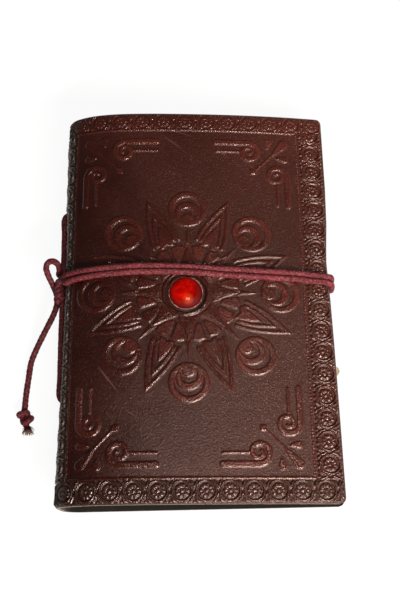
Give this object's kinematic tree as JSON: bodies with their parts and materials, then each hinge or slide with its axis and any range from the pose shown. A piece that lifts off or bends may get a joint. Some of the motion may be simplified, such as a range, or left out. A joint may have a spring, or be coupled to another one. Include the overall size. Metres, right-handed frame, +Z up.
{
  "type": "leather wrap journal",
  "caption": "Small handmade leather journal with a soft wrap spine, deckle-edged folded pages, a set red cabochon and a cord tied round it.",
  "frame": {"origin": "under the middle of the tied book, on the surface that it lies on; the free tail of the cord is left out of that middle", "axes": "+X from the spine to the fore-edge, +Y from the tail to the head of the book, +Z up out of the front cover"},
  "size_m": [0.1237, 0.153, 0.0248],
  "materials": {
    "leather": "embossed, satin, slightly worn",
    "paper": "matte handmade, torn edges",
    "stone": "polished, translucent",
    "cord": "waxed, slightly glossy",
    "frayed_cord": "frayed, dry"
  },
  "bodies": {
    "text_block": {"spine_cover": "leather", "lower_signature_1": "paper", "lower_signature_2": "paper", "lower_signature_3": "paper", "lower_signature_4": "paper", "lower_signature_5": "paper", "spine_strand": "cord", "wrap_cord": "cord", "hitch": "cord", "tail_cord": "cord", "end_knot": "cord", "frayed_tip": "frayed_cord"},
    "front_board": {"front_cover": "leather", "stone": "stone", "stone_backing": "leather"},
    "upper_pages": {"upper_signature_6": "paper", "upper_signature_7": "paper", "upper_signature_8": "paper", "upper_signature_9": "paper", "upper_signature_10": "paper"},
    "back_board": {"back_cover": "leather"}
  },
  "joints": [
    {"name": "front_cover_hinge", "type": "hinge", "parent": "text_block", "child": "front_board", "pos_m": [-0.04689, 0, 0.01795], "axis": [0, -1, 0], "range_deg": [0, 165], "deforming": ["wrap_cord"]},
    {"name": "upper_pages_hinge", "type": "hinge", "parent": "text_block", "child": "upper_pages", "pos_m": [-0.04689, 0, 0.01795], "axis": [0, -1, 0], "range_deg": [0, 140.25]},
    {"name": "back_cover_hinge", "type": "hinge", "parent": "text_block", "child": "back_board", "pos_m": [-0.04689, 0, 0.00205], "axis": [0, 1, 0], "range_deg": [0, 160], "deforming": ["wrap_cord"]}
  ],
  "couplings": [
    {"joint": "upper_pages_hinge", "follows": "front_cover_hinge", "ratio": 0.85}
  ]
}
